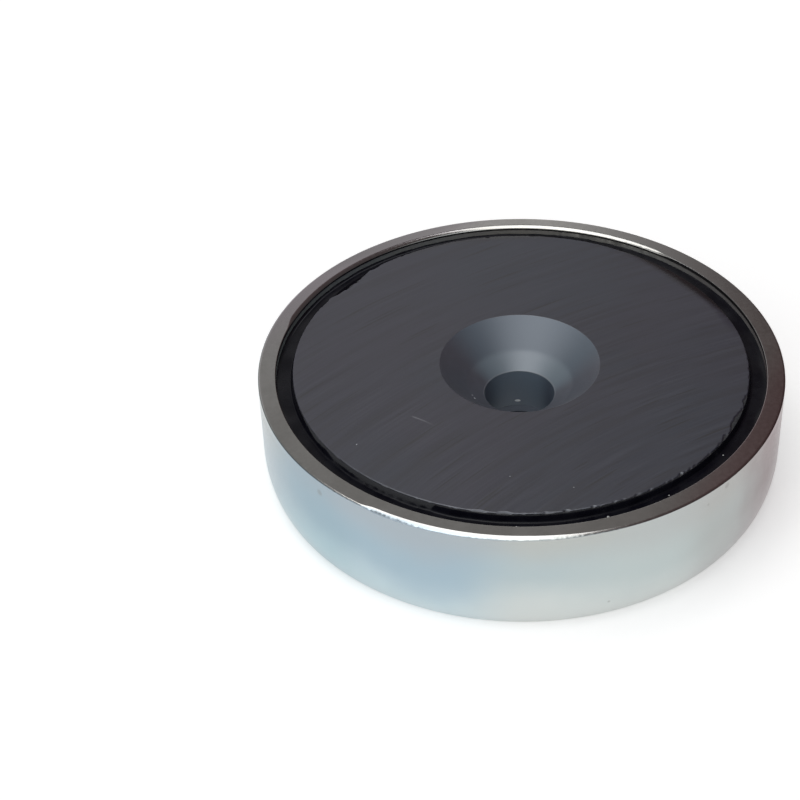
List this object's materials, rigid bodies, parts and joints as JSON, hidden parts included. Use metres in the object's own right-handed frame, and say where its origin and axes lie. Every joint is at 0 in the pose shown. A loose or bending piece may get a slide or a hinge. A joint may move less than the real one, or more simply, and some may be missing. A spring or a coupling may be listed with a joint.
{
  "type": "ferrite pot magnet",
  "caption": "Round ferrite pot magnet with a countersunk hole: a zinc-plated steel cup holding a dark ferrite ring set in black resin.",
  "frame": {"origin": "on the axis, at the middle of the cup's flat back", "axes": "+Z along the hole's axis, out of the pole face; X and Y are alike, as the part is round"},
  "size_m": [0.063, 0.063, 0.014],
  "materials": {
    "zinc_plated_steel": "satin",
    "ground_ferrite": "satin",
    "black_resin": "gloss",
    "cured_adhesive": "satin"
  },
  "bodies": {
    "root": {"steel_cup": "zinc_plated_steel", "ferrite_ring": "ground_ferrite", "epoxy_fill": "black_resin", "adhesive_layer": "cured_adhesive"}
  },
  "joints": []
}
